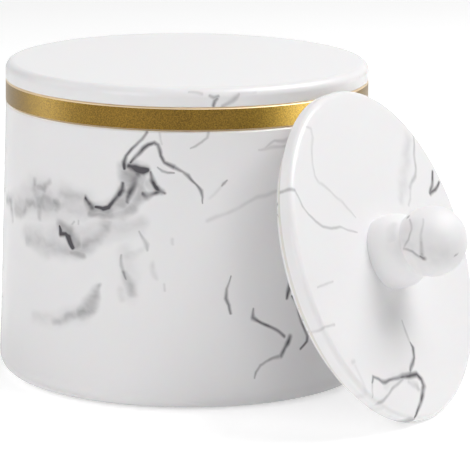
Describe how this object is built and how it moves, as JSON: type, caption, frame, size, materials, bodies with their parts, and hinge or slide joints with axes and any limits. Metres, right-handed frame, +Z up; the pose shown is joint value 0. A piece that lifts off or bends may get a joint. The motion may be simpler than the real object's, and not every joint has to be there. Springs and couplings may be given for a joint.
{
  "type": "lidded jar",
  "caption": "Round straight-sided resin jar with a metal ring at its mouth, a flat lift-off lid, and a spare lid with a ball knob leaning on it.",
  "frame": {"origin": "centre of the jar's foot, on the surface it stands on", "axes": "+Z up along the jar's axis, -Y towards the viewer, +X towards the side where the spare lid leans"},
  "size_m": [0.1308, 0.1402, 0.0875],
  "materials": {
    "marbled_resin": "satin cast resin, white with grey marble veins",
    "gold_ring": "frosted gold",
    "silicone": "translucent matt silicone",
    "foot_pad": "matt non-slip foam",
    "brass": "turned brass",
    "steel": "zinc-plated steel"
  },
  "bodies": {
    "jar": {"jar_body": "marbled_resin", "trim_band": "gold_ring", "base_pad": "foot_pad"},
    "closed_lid": {"flat_lid": "marbled_resin", "flat_lid_seal": "silicone"},
    "leaning_lid": {"knob_lid": "marbled_resin", "knob_lid_seal": "silicone", "knob": "marbled_resin", "knob_insert": "brass", "knob_screw": "steel"}
  },
  "joints": [
    {"name": "flat_lid_lift", "type": "slide", "parent": "jar", "child": "closed_lid", "axis": [0, 0, 1], "range_m": [0, 0.04]},
    {"name": "knob_lid_lift", "type": "slide", "parent": "jar", "child": "leaning_lid", "axis": [0.8182, -0.4573, 0.3486], "range_m": [0, 0.04]}
  ]
}
